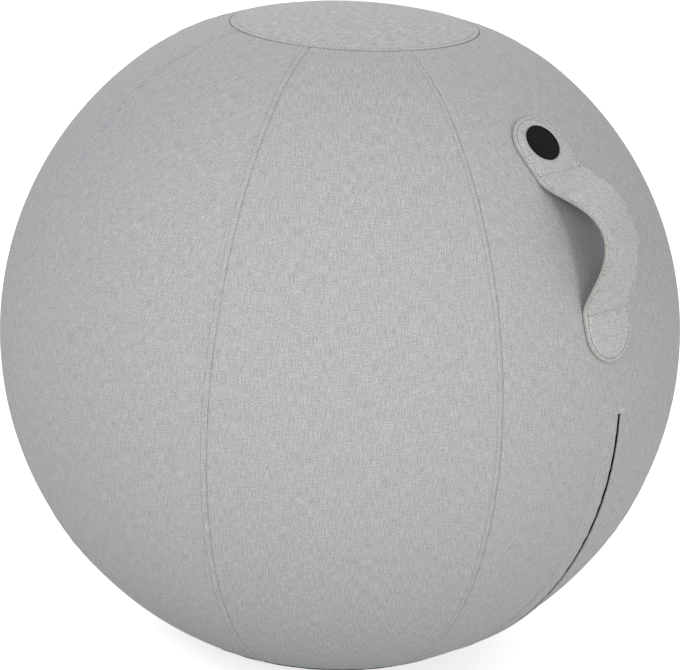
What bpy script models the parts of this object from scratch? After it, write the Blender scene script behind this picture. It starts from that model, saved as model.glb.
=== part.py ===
"""Sitting ball: an inflated inner ball in a sewn fabric cover with a carrying strap and a zip.

Metres, +Z up. The origin is the middle of the flat foot on the floor. The strap and the zip lie
on the +X side, in the middle of one of the side panels.
"""

import math

import bmesh
import bpy
from mathutils import Matrix, Vector

# Cover
COVER_RADIUS = 0.325
FOOT_RADIUS = 0.095
TOP_DROP = 0.0125
TOP_FLATTENING_RADIUS = 0.195
TOP_FLATTENING_POWER = 1.85
TOP_PANEL_RADIUS = 0.1175
BASE_PANEL_RADIUS = 0.165
COVER_THICKNESS = 0.0015
NONSLIP_THICKNESS = 0.0018
PANEL_COUNT = 8
FIT = 0.0003

# Inner ball and its valve
BALL_WALL = 0.0012
VALVE_BELOW_CENTRE = 0.105
VALVE_FROM_ZIP = 0.055
VALVE_BORE_RADIUS = 0.0045
VALVE_HEAD_RADIUS = 0.0080
VALVE_HEAD_HEIGHT = 0.0018
VALVE_STEM_LENGTH = 0.0125
VALVE_TIP_RADIUS = 0.0034
VALVE_BARB = 0.0005
VALVE_BOSS_WALL = 0.0045
VALVE_BOSS_DEPTH = 0.0085

# Zip chain
ZIP_LENGTH = 0.344
TOOTH_PITCH = 0.0050
TOOTH_LENGTH = 0.0018
TOOTH_HALF_HEIGHT = 0.0010
TOOTH_REACH = 0.0009
TOOTH_SPINE_IN = 0.0014
TOOTH_SPINE_WIDTH = 0.0015
TAPE_THICKNESS = 0.0006
TAPE_WIDTH = 0.0130
TAPE_TAIL = 0.0100
STOP_LENGTH = 0.0028
ZIP_END_MARGIN = 0.0110

# Zip slider and pull
SLIDER_LENGTH = 0.0140
SLIDER_REAR_WIDTH = 0.0096
SLIDER_FRONT_WIDTH = 0.0116
SLIDER_PLATE = 0.0008
SLIDER_RIM = 0.0008
SLIDER_TAPE_SLOT = 0.0016
SLIDER_POST_LENGTH = 0.0030
SLIDER_POST_WIDTH = 0.0022
RUNNING_GAP = 0.0005
BAIL_LENGTH = 0.0062
BAIL_HEIGHT = 0.0028
BAIL_WIDTH = 0.0016
BAIL_BAR = 0.0011
PULL_LENGTH = 0.0165
PULL_WIDTH = 0.0036
PULL_THICKNESS = 0.0009
PULL_BAR = 0.0009
PULL_EYE_WIDTH = 0.0022
PULL_EYE_LENGTH = 0.0042

# Zip opening in the cover
ZIP_BESIDE_MIDDLE = 0.0075
SLIT_LEFT = 0.0023
SLIT_RIGHT = 0.0023
LIP_RISE = 0.0018
LIP_FADE = 0.0160
LIP_RUN_OUT = 0.0125
FLAP_WIDTH = 0.0250
FLAP_RISE = 0.0013
FLAP_EDGE = 0.0015
HOLLOW_MARGIN = 0.0008
SEWING_RAMP = 0.0030

# Carrying strap
STRAP_WIDTH = 0.062
STRAP_BESIDE_MIDDLE = -0.0037
STRAP_ABOVE_ZIP = 0.050
LOWER_TAB_LENGTH = 0.045
STRAP_SPAN = 0.126
UPPER_TAB_LENGTH = 0.057
ARCH_HEIGHT = 0.035
ARCH_POWER = 1.475
ARCH_POWER_TWIST = 0.325
ARCH_LEAN = 0.20
LINING_THICKNESS = 0.0007
CORE_THICKNESS = 0.0014
FACE_THICKNESS = 0.0009

# Badge on the upper tab
BADGE_RADIUS = 0.0175
BADGE_THICKNESS = 0.0014
BADGE_RIM = 0.0020
BADGE_RIM_RISE = 0.0004
BADGE_FROM_TAB_END = 0.0279
BADGE_BESIDE_MIDDLE = -0.0040

# Facet counts
PANEL_COLUMN_COUNT = 5
CROWN_ROW_COUNT = 3
UPPER_ROW_COUNT = 7
LOWER_ROW_COUNT = 7
ZIP_ROW_COUNT_PER_ROW = 3
BASE_ROW_COUNT = 2
ARCH_ROW_COUNT = 12
TAB_END_ROW_COUNT = 5
ROUND_SIDE_COUNT = 24

# Finishes: linear colour, roughness, metallic
GREY_WEAVE = ((0.50, 0.505, 0.515), 0.9, 0.0)
BLACK_NONSLIP = ((0.015, 0.015, 0.016), 0.75, 0.0)
BALL_VINYL = ((0.20, 0.21, 0.22), 0.45, 0.0)
VALVE_WHITE = ((0.80, 0.80, 0.78), 0.5, 0.0)
ZIP_BLACK = ((0.018, 0.018, 0.019), 0.6, 0.0)
TOOTH_BLACK = ((0.020, 0.020, 0.021), 0.4, 0.0)
ZIP_METAL = ((0.045, 0.045, 0.048), 0.35, 0.9)
STRAP_CORE = ((0.64, 0.55, 0.42), 0.85, 0.0)
STRAP_LINING = ((0.24, 0.24, 0.25), 0.9, 0.0)
BADGE_BLACK = ((0.012, 0.012, 0.013), 0.55, 0.0)

# Places that follow from the sizes
CENTRE_HEIGHT = math.sqrt(COVER_RADIUS**2 - FOOT_RADIUS**2)
CENTRE = Vector((0.0, 0.0, CENTRE_HEIGHT))
COLUMN_COUNT = PANEL_COUNT * PANEL_COLUMN_COUNT
PANEL_ANGLE = math.tau / PANEL_COUNT
COLUMN_ANGLE = PANEL_ANGLE / PANEL_COLUMN_COUNT
FOOT_POLAR = math.pi - math.asin(FOOT_RADIUS / COVER_RADIUS)
TOP_SEAM = math.asin(TOP_PANEL_RADIUS / COVER_RADIUS)
BASE_SEAM = math.pi - math.asin(BASE_PANEL_RADIUS / COVER_RADIUS)
FLATTENING_COSINE = math.cos(math.asin(TOP_FLATTENING_RADIUS / COVER_RADIUS))
SEAM_HALF = FIT / 2 / COVER_RADIUS

SLIDER_HALF = TOOTH_HALF_HEIGHT + FIT + SLIDER_PLATE
ZIP_RADIUS = COVER_RADIUS + FLAP_RISE - FLAP_EDGE - RUNNING_GAP - SLIDER_HALF
SLIDER_TOP = ZIP_RADIUS + SLIDER_HALF
ZIP_TILT = math.asin(ZIP_BESIDE_MIDDLE / ZIP_RADIUS)
ZIP_TOP = BASE_SEAM - ZIP_LENGTH / COVER_RADIUS
SLIDER_POLAR = BASE_SEAM - (ZIP_END_MARGIN + SLIDER_LENGTH / 2) / ZIP_RADIUS
SPINE_OUT = TOOTH_SPINE_IN + TOOTH_SPINE_WIDTH
HOLLOW_HALF = SLIDER_FRONT_WIDTH / 2 + HOLLOW_MARGIN
SEWN_FROM = HOLLOW_HALF + SEWING_RAMP
TAPE_EDGE = SPINE_OUT + FIT + TAPE_WIDTH
SEWN_RADIUS = COVER_RADIUS - COVER_THICKNESS - FIT - TAPE_THICKNESS / 2

STRAP_BOTTOM = ZIP_TOP - STRAP_ABOVE_ZIP / COVER_RADIUS
LOWER_STITCH = STRAP_BOTTOM - LOWER_TAB_LENGTH / COVER_RADIUS
UPPER_STITCH = LOWER_STITCH - STRAP_SPAN / COVER_RADIUS
STRAP_TOP = UPPER_STITCH - UPPER_TAB_LENGTH / COVER_RADIUS
ARCH_MIDDLE = (LOWER_STITCH + UPPER_STITCH) / 2
STRAP_LAYERS = (
    ("lining", FIT, LINING_THICKNESS, STRAP_LINING),
    ("core", 2 * FIT + LINING_THICKNESS, CORE_THICKNESS, STRAP_CORE),
    ("face", 3 * FIT + LINING_THICKNESS + CORE_THICKNESS, FACE_THICKNESS, GREY_WEAVE),
)
STRAP_TOP_FACE = STRAP_LAYERS[-1][1] + FACE_THICKNESS


def clear_scene():
    for old in list(bpy.data.objects):
        bpy.data.objects.remove(old, do_unlink=True)


def finish(name, look):
    """Give one piece its own material."""
    colour, roughness, metallic = look
    material = bpy.data.materials.new(name + "_finish")
    material.use_nodes = True
    shader = material.node_tree.nodes["Principled BSDF"]
    shader.inputs["Base Color"].default_value = (*colour, 1.0)
    shader.inputs["Roughness"].default_value = roughness
    shader.inputs["Metallic"].default_value = metallic
    return material


def add_piece(name, bm, look, parent=None):
    """Turn a bmesh into a named object, under an empty where the piece moves."""
    mesh = bpy.data.meshes.new(name)
    bm.to_mesh(mesh)
    bm.free()
    mesh.shade_smooth()
    mesh.set_sharp_from_angle(angle=math.radians(30))
    mesh.materials.append(finish(name, look))
    piece = bpy.data.objects.new(name, mesh)
    bpy.context.scene.collection.objects.link(piece)
    piece.parent = parent
    return piece


def add_empty(name, location, turn=0.0, tilt=0.0, parent=None):
    """Add an empty that marks a joint's axis or carries what turns about it."""
    empty = bpy.data.objects.new(name, None)
    empty.location = location
    empty.rotation_euler = (0.0, turn, tilt)
    empty.parent = parent
    bpy.context.scene.collection.objects.link(empty)
    return empty


def add_tool(name, bm):
    """Add a shape that a Boolean uses and that isn't a piece."""
    mesh = bpy.data.meshes.new(name)
    bm.to_mesh(mesh)
    bm.free()
    tool = bpy.data.objects.new(name, mesh)
    tool.hide_render = True
    tool.display_type = "WIRE"
    bpy.context.scene.collection.objects.link(tool)
    return tool


def add_boolean(piece, operation, tool):
    modifier = piece.modifiers.new(operation.lower() + "_" + tool.name, "BOOLEAN")
    modifier.operation = operation
    modifier.solver = "EXACT"
    modifier.object = tool


def spread(first, last, steps):
    return [first + (last - first) * i / steps for i in range(steps + 1)]


def sphere_point(polar, azimuth, radius):
    """A point by its angle from the top, its angle from +X and its distance from the centre."""
    out = radius * math.sin(polar)
    return CENTRE + Vector((out * math.cos(azimuth), out * math.sin(azimuth), radius * math.cos(polar)))


def band_point(polar, across, radius):
    """A point beside the zip's line, which a turn about the Y axis moves along the zip."""
    beside = across + ZIP_BESIDE_MIDDLE
    reach = math.sqrt(radius**2 - beside**2)
    return CENTRE + Vector((reach * math.sin(polar), beside, reach * math.cos(polar)))


def cover_radius(polar):
    """The cover's outside: a ball with a flatter seat."""
    share = (math.cos(polar) - FLATTENING_COSINE) / (1 - FLATTENING_COSINE)
    return COVER_RADIUS - TOP_DROP * max(share, 0.0) ** TOP_FLATTENING_POWER


def azimuth_of(across, polar):
    """The angle from +X of a place on the ball beside the zip's line."""
    return math.asin((across + ZIP_BESIDE_MIDDLE) / (COVER_RADIUS * math.sin(polar)))


def shell(outer, inner, keep=None, closed=False, first_cap=False, last_cap=False):
    """Close a grid of outer points and its matching inner points into one thin solid."""
    bm = bmesh.new()
    top = [[bm.verts.new(point) for point in row] for row in outer]
    under = [[bm.verts.new(point) for point in row] for row in inner]
    columns = len(top[0])
    steps = columns if closed else columns - 1
    for i in range(len(top) - 1):
        for j in range(steps):
            if keep and not keep(i, j):
                continue
            k = (j + 1) % columns
            bm.faces.new((top[i][j], top[i + 1][j], top[i + 1][k], top[i][k]))
            bm.faces.new((under[i][j], under[i][k], under[i + 1][k], under[i + 1][j]))
    if first_cap:
        bm.faces.new(top[0])
        bm.faces.new(under[0][::-1])
    if last_cap:
        bm.faces.new(top[-1][::-1])
        bm.faces.new(under[-1])
    twin = {}
    for top_row, under_row in zip(top, under):
        twin.update(zip(top_row, under_row))
    rims = [edge for edge in bm.edges if edge.is_boundary and edge.verts[0] in twin]
    for edge in rims:
        loop = edge.link_loops[0]
        start = loop.vert
        end = loop.link_loop_next.vert
        bm.faces.new((end, start, twin[start], twin[end]))
    bmesh.ops.delete(bm, geom=[vert for vert in bm.verts if not vert.link_faces], context="VERTS")
    return bm


def prism(outline, depth, place):
    """Extrude a flat outline, given counter-clockwise, evenly to both sides of its plane."""
    bm = bmesh.new()
    face = bm.faces.new([bm.verts.new((x, y, -depth / 2)) for x, y in outline])
    extruded = bmesh.ops.extrude_face_region(bm, geom=[face])
    moved = [item for item in extruded["geom"] if isinstance(item, bmesh.types.BMVert)]
    bmesh.ops.translate(bm, verts=moved, vec=(0.0, 0.0, depth))
    bmesh.ops.recalc_face_normals(bm, faces=bm.faces)
    bmesh.ops.transform(bm, matrix=place, verts=bm.verts)
    return bm


def turned(profile, sides=ROUND_SIDE_COUNT):
    """Turn a profile of (radius, height) pairs, which starts and ends on the axis, about Z."""
    bm = bmesh.new()
    rings = []
    for radius, height in profile:
        if radius == 0.0:
            rings.append([bm.verts.new((0.0, 0.0, height))])
            continue
        angles = [math.tau * i / sides for i in range(sides)]
        rings.append([bm.verts.new((radius * math.cos(a), radius * math.sin(a), height)) for a in angles])
    for low, high in zip(rings, rings[1:]):
        for i in range(sides):
            k = (i + 1) % sides
            corners = [low[i % len(low)], low[k % len(low)], high[k % len(high)], high[i % len(high)]]
            bm.faces.new(list(dict.fromkeys(corners)))
    bmesh.ops.recalc_face_normals(bm, faces=bm.faces)
    return bm


def frame_at(point, outward):
    """A placing matrix with local Z pointing outwards."""
    return Matrix.Translation(point) @ outward.to_track_quat("Z", "Y").to_matrix().to_4x4()


# Fabric cover

CROWN_POLARS = spread(TOP_SEAM / (CROWN_ROW_COUNT + 1), TOP_SEAM, CROWN_ROW_COUNT)
UPPER_POLARS = spread(TOP_SEAM, ZIP_TOP, UPPER_ROW_COUNT)
LOWER_POLARS = spread(ZIP_TOP, BASE_SEAM, LOWER_ROW_COUNT)
ZIP_POLARS = spread(ZIP_TOP, BASE_SEAM, LOWER_ROW_COUNT * ZIP_ROW_COUNT_PER_ROW)
BASE_POLARS = spread(BASE_SEAM, FOOT_POLAR, BASE_ROW_COUNT)
SIDE_POLARS = UPPER_POLARS + LOWER_POLARS[1:]
RING_AZIMUTHS = [PANEL_ANGLE * (i / PANEL_COLUMN_COUNT - 0.5) for i in range(COLUMN_COUNT)]


def ring(polar, inset):
    radius = cover_radius(polar) - inset
    return [sphere_point(polar, azimuth, radius) for azimuth in RING_AZIMUTHS]


def make_top_panel():
    """The round panel of the seat, flatter than the ball."""
    polars = CROWN_POLARS[:-1] + [TOP_SEAM - SEAM_HALF]
    outer = [ring(polar, 0.0) for polar in polars]
    inner = [ring(polar, COVER_THICKNESS) for polar in polars]
    add_piece("top_panel", shell(outer, inner, closed=True, first_cap=True), GREY_WEAVE)


def make_base_panel():
    """The black non-slip panel with the flat foot that the ball stands on."""
    polars = [BASE_SEAM + SEAM_HALF] + BASE_POLARS[1:]
    outer = [ring(polar, 0.0) for polar in polars]
    inner = [ring(polar, NONSLIP_THICKNESS) for polar in polars]
    add_piece("base_panel", shell(outer, inner, closed=True, last_cap=True), BLACK_NONSLIP)


def seam_edges(polars):
    """Rows of a side panel, drawn in by half a seam at both ends."""
    return [polars[0] + SEAM_HALF] + polars[1:-1] + [polars[-1] - SEAM_HALF]


def seam_azimuth(polar):
    return PANEL_ANGLE / 2 - FIT / 2 / (COVER_RADIUS * math.sin(polar))


def make_side_panel(name, middle):
    """One of the pointed side panels between two seams."""
    outer = []
    inner = []
    for polar in seam_edges(SIDE_POLARS):
        edge = seam_azimuth(polar)
        inside = spread(-PANEL_ANGLE / 2, PANEL_ANGLE / 2, PANEL_COLUMN_COUNT)[1:-1]
        azimuths = [middle + angle for angle in [-edge] + inside + [edge]]
        radius = cover_radius(polar)
        outer.append([sphere_point(polar, azimuth, radius) for azimuth in azimuths])
        inner.append([sphere_point(polar, azimuth, radius - COVER_THICKNESS) for azimuth in azimuths])
    add_piece(name, shell(outer, inner), GREY_WEAVE)


FLAP_ACROSS = (-FLAP_WIDTH, -TAPE_EDGE, -SEWN_FROM, -HOLLOW_HALF, -SLIT_LEFT)
LIP_ACROSS = (SLIT_RIGHT, HOLLOW_HALF, SEWN_FROM, LIP_FADE)


def flap_rise(across):
    """How far the flap stands off the ball, from its seam to its free edge."""
    share = (across + FLAP_WIDTH) / (FLAP_WIDTH - SLIT_LEFT)
    return FLAP_RISE * math.sin(math.pi / 2 * min(max(share, 0.0), 1.0))


def lip_rise(across):
    """How far the other edge of the opening stands off the ball."""
    if across <= HOLLOW_HALF:
        return LIP_RISE
    share = (across - HOLLOW_HALF) / (LIP_FADE - HOLLOW_HALF)
    return LIP_RISE * (1 - min(share, 1.0)) ** 2


def opening_section(across):
    """Outer and inner offsets from the ball's radius beside the zip."""
    if across < 0.0:
        rise = flap_rise(across)
        under = rise - FLAP_EDGE if across > -SEWN_FROM else -COVER_THICKNESS
        return rise, under
    rise = lip_rise(across)
    under = rise - COVER_THICKNESS if across < SEWN_FROM else -COVER_THICKNESS
    return rise, under


def make_zip_panel():
    """The side panel that the strap is sewn to, slit from the zip's upper end down to the base."""
    outer = []
    inner = []
    outermost = PANEL_ANGLE / 2 - COLUMN_ANGLE
    above_slit = UPPER_POLARS[:-1] + [ZIP_TOP - LIP_RUN_OUT / COVER_RADIUS]
    for polar in seam_edges(above_slit + ZIP_POLARS):
        edge = seam_azimuth(polar)
        acrosses = [-FLAP_WIDTH - FIT] + list(FLAP_ACROSS[1:]) + list(LIP_ACROSS)
        azimuths = [azimuth_of(across, polar) for across in acrosses]
        azimuths[-1] = max(azimuths[-1], COLUMN_ANGLE / 2)
        if polar < ZIP_TOP:
            azimuths[0] = min(azimuths[0], -COLUMN_ANGLE / 2)
            sections = [(0.0, -COVER_THICKNESS)] * len(acrosses)
        else:
            sections = [opening_section(across) for across in acrosses]
        azimuths = [-edge, -outermost] + azimuths + [outermost, edge]
        flat = (0.0, -COVER_THICKNESS)
        sections = [flat, flat] + sections + [flat, flat]
        radius = cover_radius(polar)
        outer.append([sphere_point(polar, a, radius + s[0]) for a, s in zip(azimuths, sections)])
        inner.append([sphere_point(polar, a, radius + s[1]) for a, s in zip(azimuths, sections)])
    slit_columns = range(2, 2 + len(FLAP_ACROSS))

    def keep(row, column):
        return row < len(above_slit) or column not in slit_columns

    add_piece("zip_panel", shell(outer, inner, keep), GREY_WEAVE)


def make_zip_flap():
    """The folded strip that covers the zip: sewn along one edge, free and proud along the other."""
    outer = []
    inner = []
    polars = [ZIP_TOP + 2 * SEAM_HALF] + ZIP_POLARS[1:-1] + [BASE_SEAM - SEAM_HALF]
    for polar in polars:
        sections = [opening_section(across) for across in FLAP_ACROSS]
        azimuths = [azimuth_of(across, polar) for across in FLAP_ACROSS]
        radius = cover_radius(polar)
        outer.append([sphere_point(polar, a, radius + s[0]) for a, s in zip(azimuths, sections)])
        inner.append([sphere_point(polar, a, radius + s[1]) for a, s in zip(azimuths, sections)])
    add_piece("zip_flap", shell(outer, inner), GREY_WEAVE)


def make_cover():
    make_top_panel()
    make_base_panel()
    make_zip_panel()
    make_zip_flap()
    for number in range(1, PANEL_COUNT):
        make_side_panel(f"side_panel_{number}", number * PANEL_ANGLE)


# Inner ball and valve


def ball_radius(polar, azimuth):
    """The inner ball's outside: it fills the cover and is pressed in along the zip."""
    lining = NONSLIP_THICKNESS if polar >= BASE_SEAM else COVER_THICKNESS
    free = cover_radius(polar) - lining - FIT
    near_zip = abs(azimuth) < COLUMN_ANGLE
    if near_zip and ZIP_TOP <= polar <= BASE_SEAM:
        return ZIP_RADIUS - SLIDER_HALF - RUNNING_GAP
    return free


def ball_ring(polar, wall):
    azimuths = [math.remainder(azimuth, math.tau) for azimuth in RING_AZIMUTHS]
    return [sphere_point(polar, a, ball_radius(polar, a) - wall) for a in azimuths]


def valve_place():
    """The valve beside the zip, where an open zip lets a hand reach it."""
    polar = math.pi / 2 + math.asin(VALVE_BELOW_CENTRE / COVER_RADIUS)
    azimuth = azimuth_of(VALVE_FROM_ZIP, polar)
    outward = (sphere_point(polar, azimuth, 1.0) - CENTRE).normalized()
    flat = math.cos(COLUMN_ANGLE / 2) ** 2
    seat = CENTRE + outward * (ball_radius(polar, PANEL_ANGLE / 2) * flat)
    return frame_at(seat, outward)


def make_inner_ball():
    """The hollow vinyl ball, open at its valve."""
    polars = CROWN_POLARS + SIDE_POLARS[1:] + BASE_POLARS[1:]
    outer = [ball_ring(polar, 0.0) for polar in polars]
    inner = [ball_ring(polar, BALL_WALL) for polar in polars]
    hollow = shell(outer, inner, closed=True, first_cap=True, last_cap=True)
    ball = add_piece("inner_ball", hollow, BALL_VINYL)
    head_recess = VALVE_HEAD_HEIGHT + 2 * FIT
    boss_radius = VALVE_HEAD_RADIUS + VALVE_BOSS_WALL
    deep = -VALVE_BOSS_DEPTH
    boss = turned([(0.0, deep), (boss_radius, deep), (boss_radius, 0.0), (0.0, 0.0)])
    bmesh.ops.transform(boss, matrix=valve_place(), verts=boss.verts)
    add_boolean(ball, "UNION", add_tool("valve_boss", boss))
    bore = VALVE_BORE_RADIUS + FIT
    head = VALVE_HEAD_RADIUS + FIT
    past = 2 * VALVE_BOSS_DEPTH
    profile = [(0.0, -past), (bore, -past), (bore, -head_recess)]
    profile += [(head, -head_recess), (head, past), (0.0, past)]
    cutter = turned(profile)
    bmesh.ops.transform(cutter, matrix=valve_place(), verts=cutter.verts)
    add_boolean(ball, "DIFFERENCE", add_tool("valve_cutter", cutter))


def make_valve_plug():
    """The barbed stopper, pushed in until its head is level with the ball."""
    top = -FIT
    under = top - VALVE_HEAD_HEIGHT
    tip = under - VALVE_STEM_LENGTH
    stem = VALVE_BORE_RADIUS - VALVE_BARB
    barb = under - VALVE_BOSS_DEPTH / 2
    profile = [
        (0.0, top),
        (VALVE_HEAD_RADIUS, top),
        (VALVE_HEAD_RADIUS, under),
        (stem, under),
        (stem, barb + VALVE_BARB),
        (VALVE_BORE_RADIUS, barb),
        (stem, barb - 2 * VALVE_BARB),
        (VALVE_TIP_RADIUS, tip),
        (0.0, tip),
    ]
    bm = turned(profile)
    bmesh.ops.transform(bm, matrix=valve_place(), verts=bm.verts)
    add_piece("valve_plug", bm, VALVE_WHITE)


# Zip

CHAIN_TOP = ZIP_TOP + (STOP_LENGTH + 2 * FIT) / ZIP_RADIUS
CHAIN_BOTTOM = SLIDER_POLAR + (SLIDER_LENGTH / 2 - 2 * SLIDER_POST_LENGTH) / ZIP_RADIUS
STOPS_FROM = SLIDER_POLAR + (SLIDER_LENGTH / 2 + FIT) / ZIP_RADIUS


def make_zip_tape(name, side):
    """A woven tape: beside the teeth it lies low, further out it meets the cover that it is sewn to."""
    polars = [ZIP_TOP - TAPE_TAIL / COVER_RADIUS] + ZIP_POLARS[:-1] + [BASE_SEAM - SEAM_HALF]
    stations = (
        (SPINE_OUT + FIT, ZIP_RADIUS),
        (HOLLOW_HALF, ZIP_RADIUS),
        (SEWN_FROM, SEWN_RADIUS),
        (TAPE_EDGE, SEWN_RADIUS),
    )
    ordered = stations if side > 0 else stations[::-1]
    half = TAPE_THICKNESS / 2
    outer = [[band_point(polar, side * across, r + half) for across, r in ordered] for polar in polars]
    inner = [[band_point(polar, side * across, r - half) for across, r in ordered] for polar in polars]
    add_piece(name, shell(outer, inner), ZIP_BLACK)


def make_zip_teeth(name, side, first):
    """One row of teeth on its spine. The two rows are half a pitch apart, so they interlock."""
    pitch = TOOTH_PITCH / ZIP_RADIUS
    half = TOOTH_LENGTH / 2 / ZIP_RADIUS
    polars = []
    polar = CHAIN_TOP + first * pitch + half
    while polar + half <= CHAIN_BOTTOM:
        polars += [polar - half, polar + half]
        polar += pitch
    stations = [SPINE_OUT, TOOTH_SPINE_IN, -TOOTH_REACH]
    acrosses = sorted(side * station for station in stations)
    outer = [[band_point(p, across, ZIP_RADIUS + TOOTH_HALF_HEIGHT) for across in acrosses] for p in polars]
    inner = [[band_point(p, across, ZIP_RADIUS - TOOTH_HALF_HEIGHT) for across in acrosses] for p in polars]
    tooth_column = 0 if side > 0 else 1

    def keep(row, column):
        return column != tooth_column or row % 2 == 0

    add_piece(name, shell(outer, inner, keep), TOOTH_BLACK)


def make_stop(name, first_across, last_across, polar):
    """A small block crimped to the tape's edge, which the slider stops at."""
    polars = [polar, polar + STOP_LENGTH / ZIP_RADIUS]
    acrosses = [first_across, last_across]
    outer = [[band_point(p, across, ZIP_RADIUS + TOOTH_HALF_HEIGHT) for across in acrosses] for p in polars]
    inner = [[band_point(p, across, ZIP_RADIUS - TOOTH_HALF_HEIGHT) for across in acrosses] for p in polars]
    add_piece(name, shell(outer, inner), ZIP_METAL)


def slider_channel(up):
    """One plate of the slider with its two rims, wider towards the end that parts the teeth."""
    bm = bmesh.new()
    inside = up * (TOOTH_HALF_HEIGHT + FIT)
    outside = up * SLIDER_HALF
    slot = up * SLIDER_TAPE_SLOT / 2
    rings = []
    for width, along in ((SLIDER_REAR_WIDTH, SLIDER_LENGTH / 2), (SLIDER_FRONT_WIDTH, -SLIDER_LENGTH / 2)):
        edge = width / 2
        rim = edge - SLIDER_RIM
        half = [(edge, outside), (edge, slot), (rim, slot), (rim, inside)]
        section = half + [(-across, height) for across, height in half[::-1]]
        rings.append([bm.verts.new((ZIP_RADIUS + height, across, along)) for across, height in section])
    count = len(rings[0])
    for i in range(count):
        k = (i + 1) % count
        bm.faces.new((rings[0][i], rings[0][k], rings[1][k], rings[1][i]))
    bm.faces.new(rings[0])
    bm.faces.new(rings[1])
    bmesh.ops.recalc_face_normals(bm, faces=bm.faces)
    return bm


def make_zip_slider(axis):
    """Two plates held apart by the post that parts the teeth, with the pull's bail on the outer one."""
    slider = add_piece("zip_slider", slider_channel(1), ZIP_METAL, axis)
    lower = add_tool("slider_lower_plate", slider_channel(-1))
    front = -SLIDER_LENGTH / 2
    back = front + SLIDER_POST_LENGTH
    middle = (front + back) / 2
    wide = SLIDER_POST_WIDTH / 2
    diamond = [(wide, middle), (0.0, back), (-wide, middle), (0.0, front)]
    across_then_along = Matrix(((0, 0, 1, ZIP_RADIUS), (1, 0, 0, 0), (0, 1, 0, 0), (0, 0, 0, 1)))
    post = add_tool("slider_post", prism(diamond, 2 * SLIDER_HALF - SLIDER_PLATE, across_then_along))
    sunk = -SLIDER_PLATE / 2
    leg = BAIL_LENGTH / 2
    hole = leg - BAIL_BAR
    roof = BAIL_HEIGHT - BAIL_BAR
    corner = BAIL_HEIGHT - BAIL_BAR / 2
    arch = [(sunk, -leg), (sunk, -hole), (roof, -hole), (roof, hole), (sunk, hole), (sunk, leg)]
    arch += [(corner, leg), (BAIL_HEIGHT, hole), (BAIL_HEIGHT, -hole), (corner, -leg)]
    out_then_along = Matrix(((1, 0, 0, SLIDER_TOP), (0, 0, -1, 0), (0, 1, 0, 0), (0, 0, 0, 1)))
    bail = add_tool("slider_bail", prism(arch, BAIL_WIDTH, out_then_along))
    for tool in (post, lower, bail):
        tool.parent = axis
        add_boolean(slider, "UNION", tool)


def make_zip_pull(axis):
    """The narrow tab below the slider: its end bar turns in the bail, and it swings out of the slit."""
    half = PULL_WIDTH / 2
    start = -PULL_BAR / 2
    round_centre = PULL_LENGTH - half
    outline = [(half, start), (half, round_centre)]
    for angle in spread(0, math.pi, 8)[1:-1]:
        outline.append((half * math.cos(angle), round_centre + half * math.sin(angle)))
    outline += [(-half, round_centre), (-half, start)]
    across_then_down = Matrix(((0, 0, -1, 0), (1, 0, 0, 0), (0, -1, 0, 0), (0, 0, 0, 1)))
    pull = add_piece("zip_pull", prism(outline, PULL_THICKNESS, across_then_down), ZIP_METAL, axis)
    eye_half = PULL_EYE_WIDTH / 2
    eye_start = PULL_BAR / 2
    eye_end = eye_start + PULL_EYE_LENGTH
    eye = [(eye_half, eye_start), (eye_half, eye_end), (-eye_half, eye_end), (-eye_half, eye_start)]
    cutter = add_tool("pull_eye", prism(eye, 2 * PULL_THICKNESS, across_then_down))
    cutter.parent = axis
    add_boolean(pull, "DIFFERENCE", cutter)


def make_zip():
    make_zip_tape("zip_tape_left", -1)
    make_zip_tape("zip_tape_right", 1)
    make_zip_teeth("zip_teeth_left", -1, 0.0)
    make_zip_teeth("zip_teeth_right", 1, 0.5)
    make_stop("zip_upper_stop", -SPINE_OUT, SPINE_OUT, ZIP_TOP + FIT / ZIP_RADIUS)
    make_stop("zip_end_stop_left", -SPINE_OUT, -TOOTH_SPINE_IN, STOPS_FROM)
    make_stop("zip_end_stop_right", TOOTH_SPINE_IN, SPINE_OUT, STOPS_FROM)
    slide_axis = add_empty("zip_slide_axis", CENTRE, SLIDER_POLAR - math.pi / 2)
    zip_line = add_empty("zip_line", (0.0, 0.0, 0.0), tilt=ZIP_TILT, parent=slide_axis)
    pivot = (SLIDER_TOP + (BAIL_HEIGHT - BAIL_BAR) / 2, 0.0, 0.0)
    swing_axis = add_empty("zip_pull_axis", pivot, parent=zip_line)
    make_zip_slider(zip_line)
    make_zip_pull(swing_axis)


# Carrying strap


def arch_height(polar, share):
    """How far the strap stands off the ball. share runs from -1 at its left edge to 1 at its right."""
    along = (polar - ARCH_MIDDLE) / ((LOWER_STITCH - UPPER_STITCH) / 2)
    power = ARCH_POWER - ARCH_POWER_TWIST * share
    return ARCH_HEIGHT * (1 - ARCH_LEAN * share) * max(1 - along**2, 0.0) ** power


def strap_line(polar, share=0.0):
    """A line along the strap's underside, as distance out along +X and height."""
    radius = COVER_RADIUS + arch_height(polar, share)
    return Vector((radius * math.sin(polar), radius * math.cos(polar)))


def strap_point(polar, across, offset):
    """A point of the strap, offset square to its underside."""
    share = across / (STRAP_WIDTH / 2)
    step = math.radians(1.0)
    along = strap_line(polar + step, share) - strap_line(polar - step, share)
    normal = Vector((-along.y, along.x)).normalized()
    beside = across + STRAP_BESIDE_MIDDLE
    drop = COVER_RADIUS - math.sqrt(COVER_RADIUS**2 - beside**2)
    place = strap_line(polar, share) + normal * (offset - drop)
    return CENTRE + Vector((place.x, beside, place.y))


def strap_solid(rows, offset, thickness):
    """Close one layer of the strap over rows of (polar angle, half width)."""
    shares = (-1.0, -0.5, 0.0, 0.5, 1.0)
    inner = []
    outer = []
    for polar, half in rows:
        inner.append([strap_point(polar, half * share, offset) for share in shares])
        outer.append([strap_point(polar, half * share, offset + thickness) for share in shares])
    return shell(outer, inner)


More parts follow.
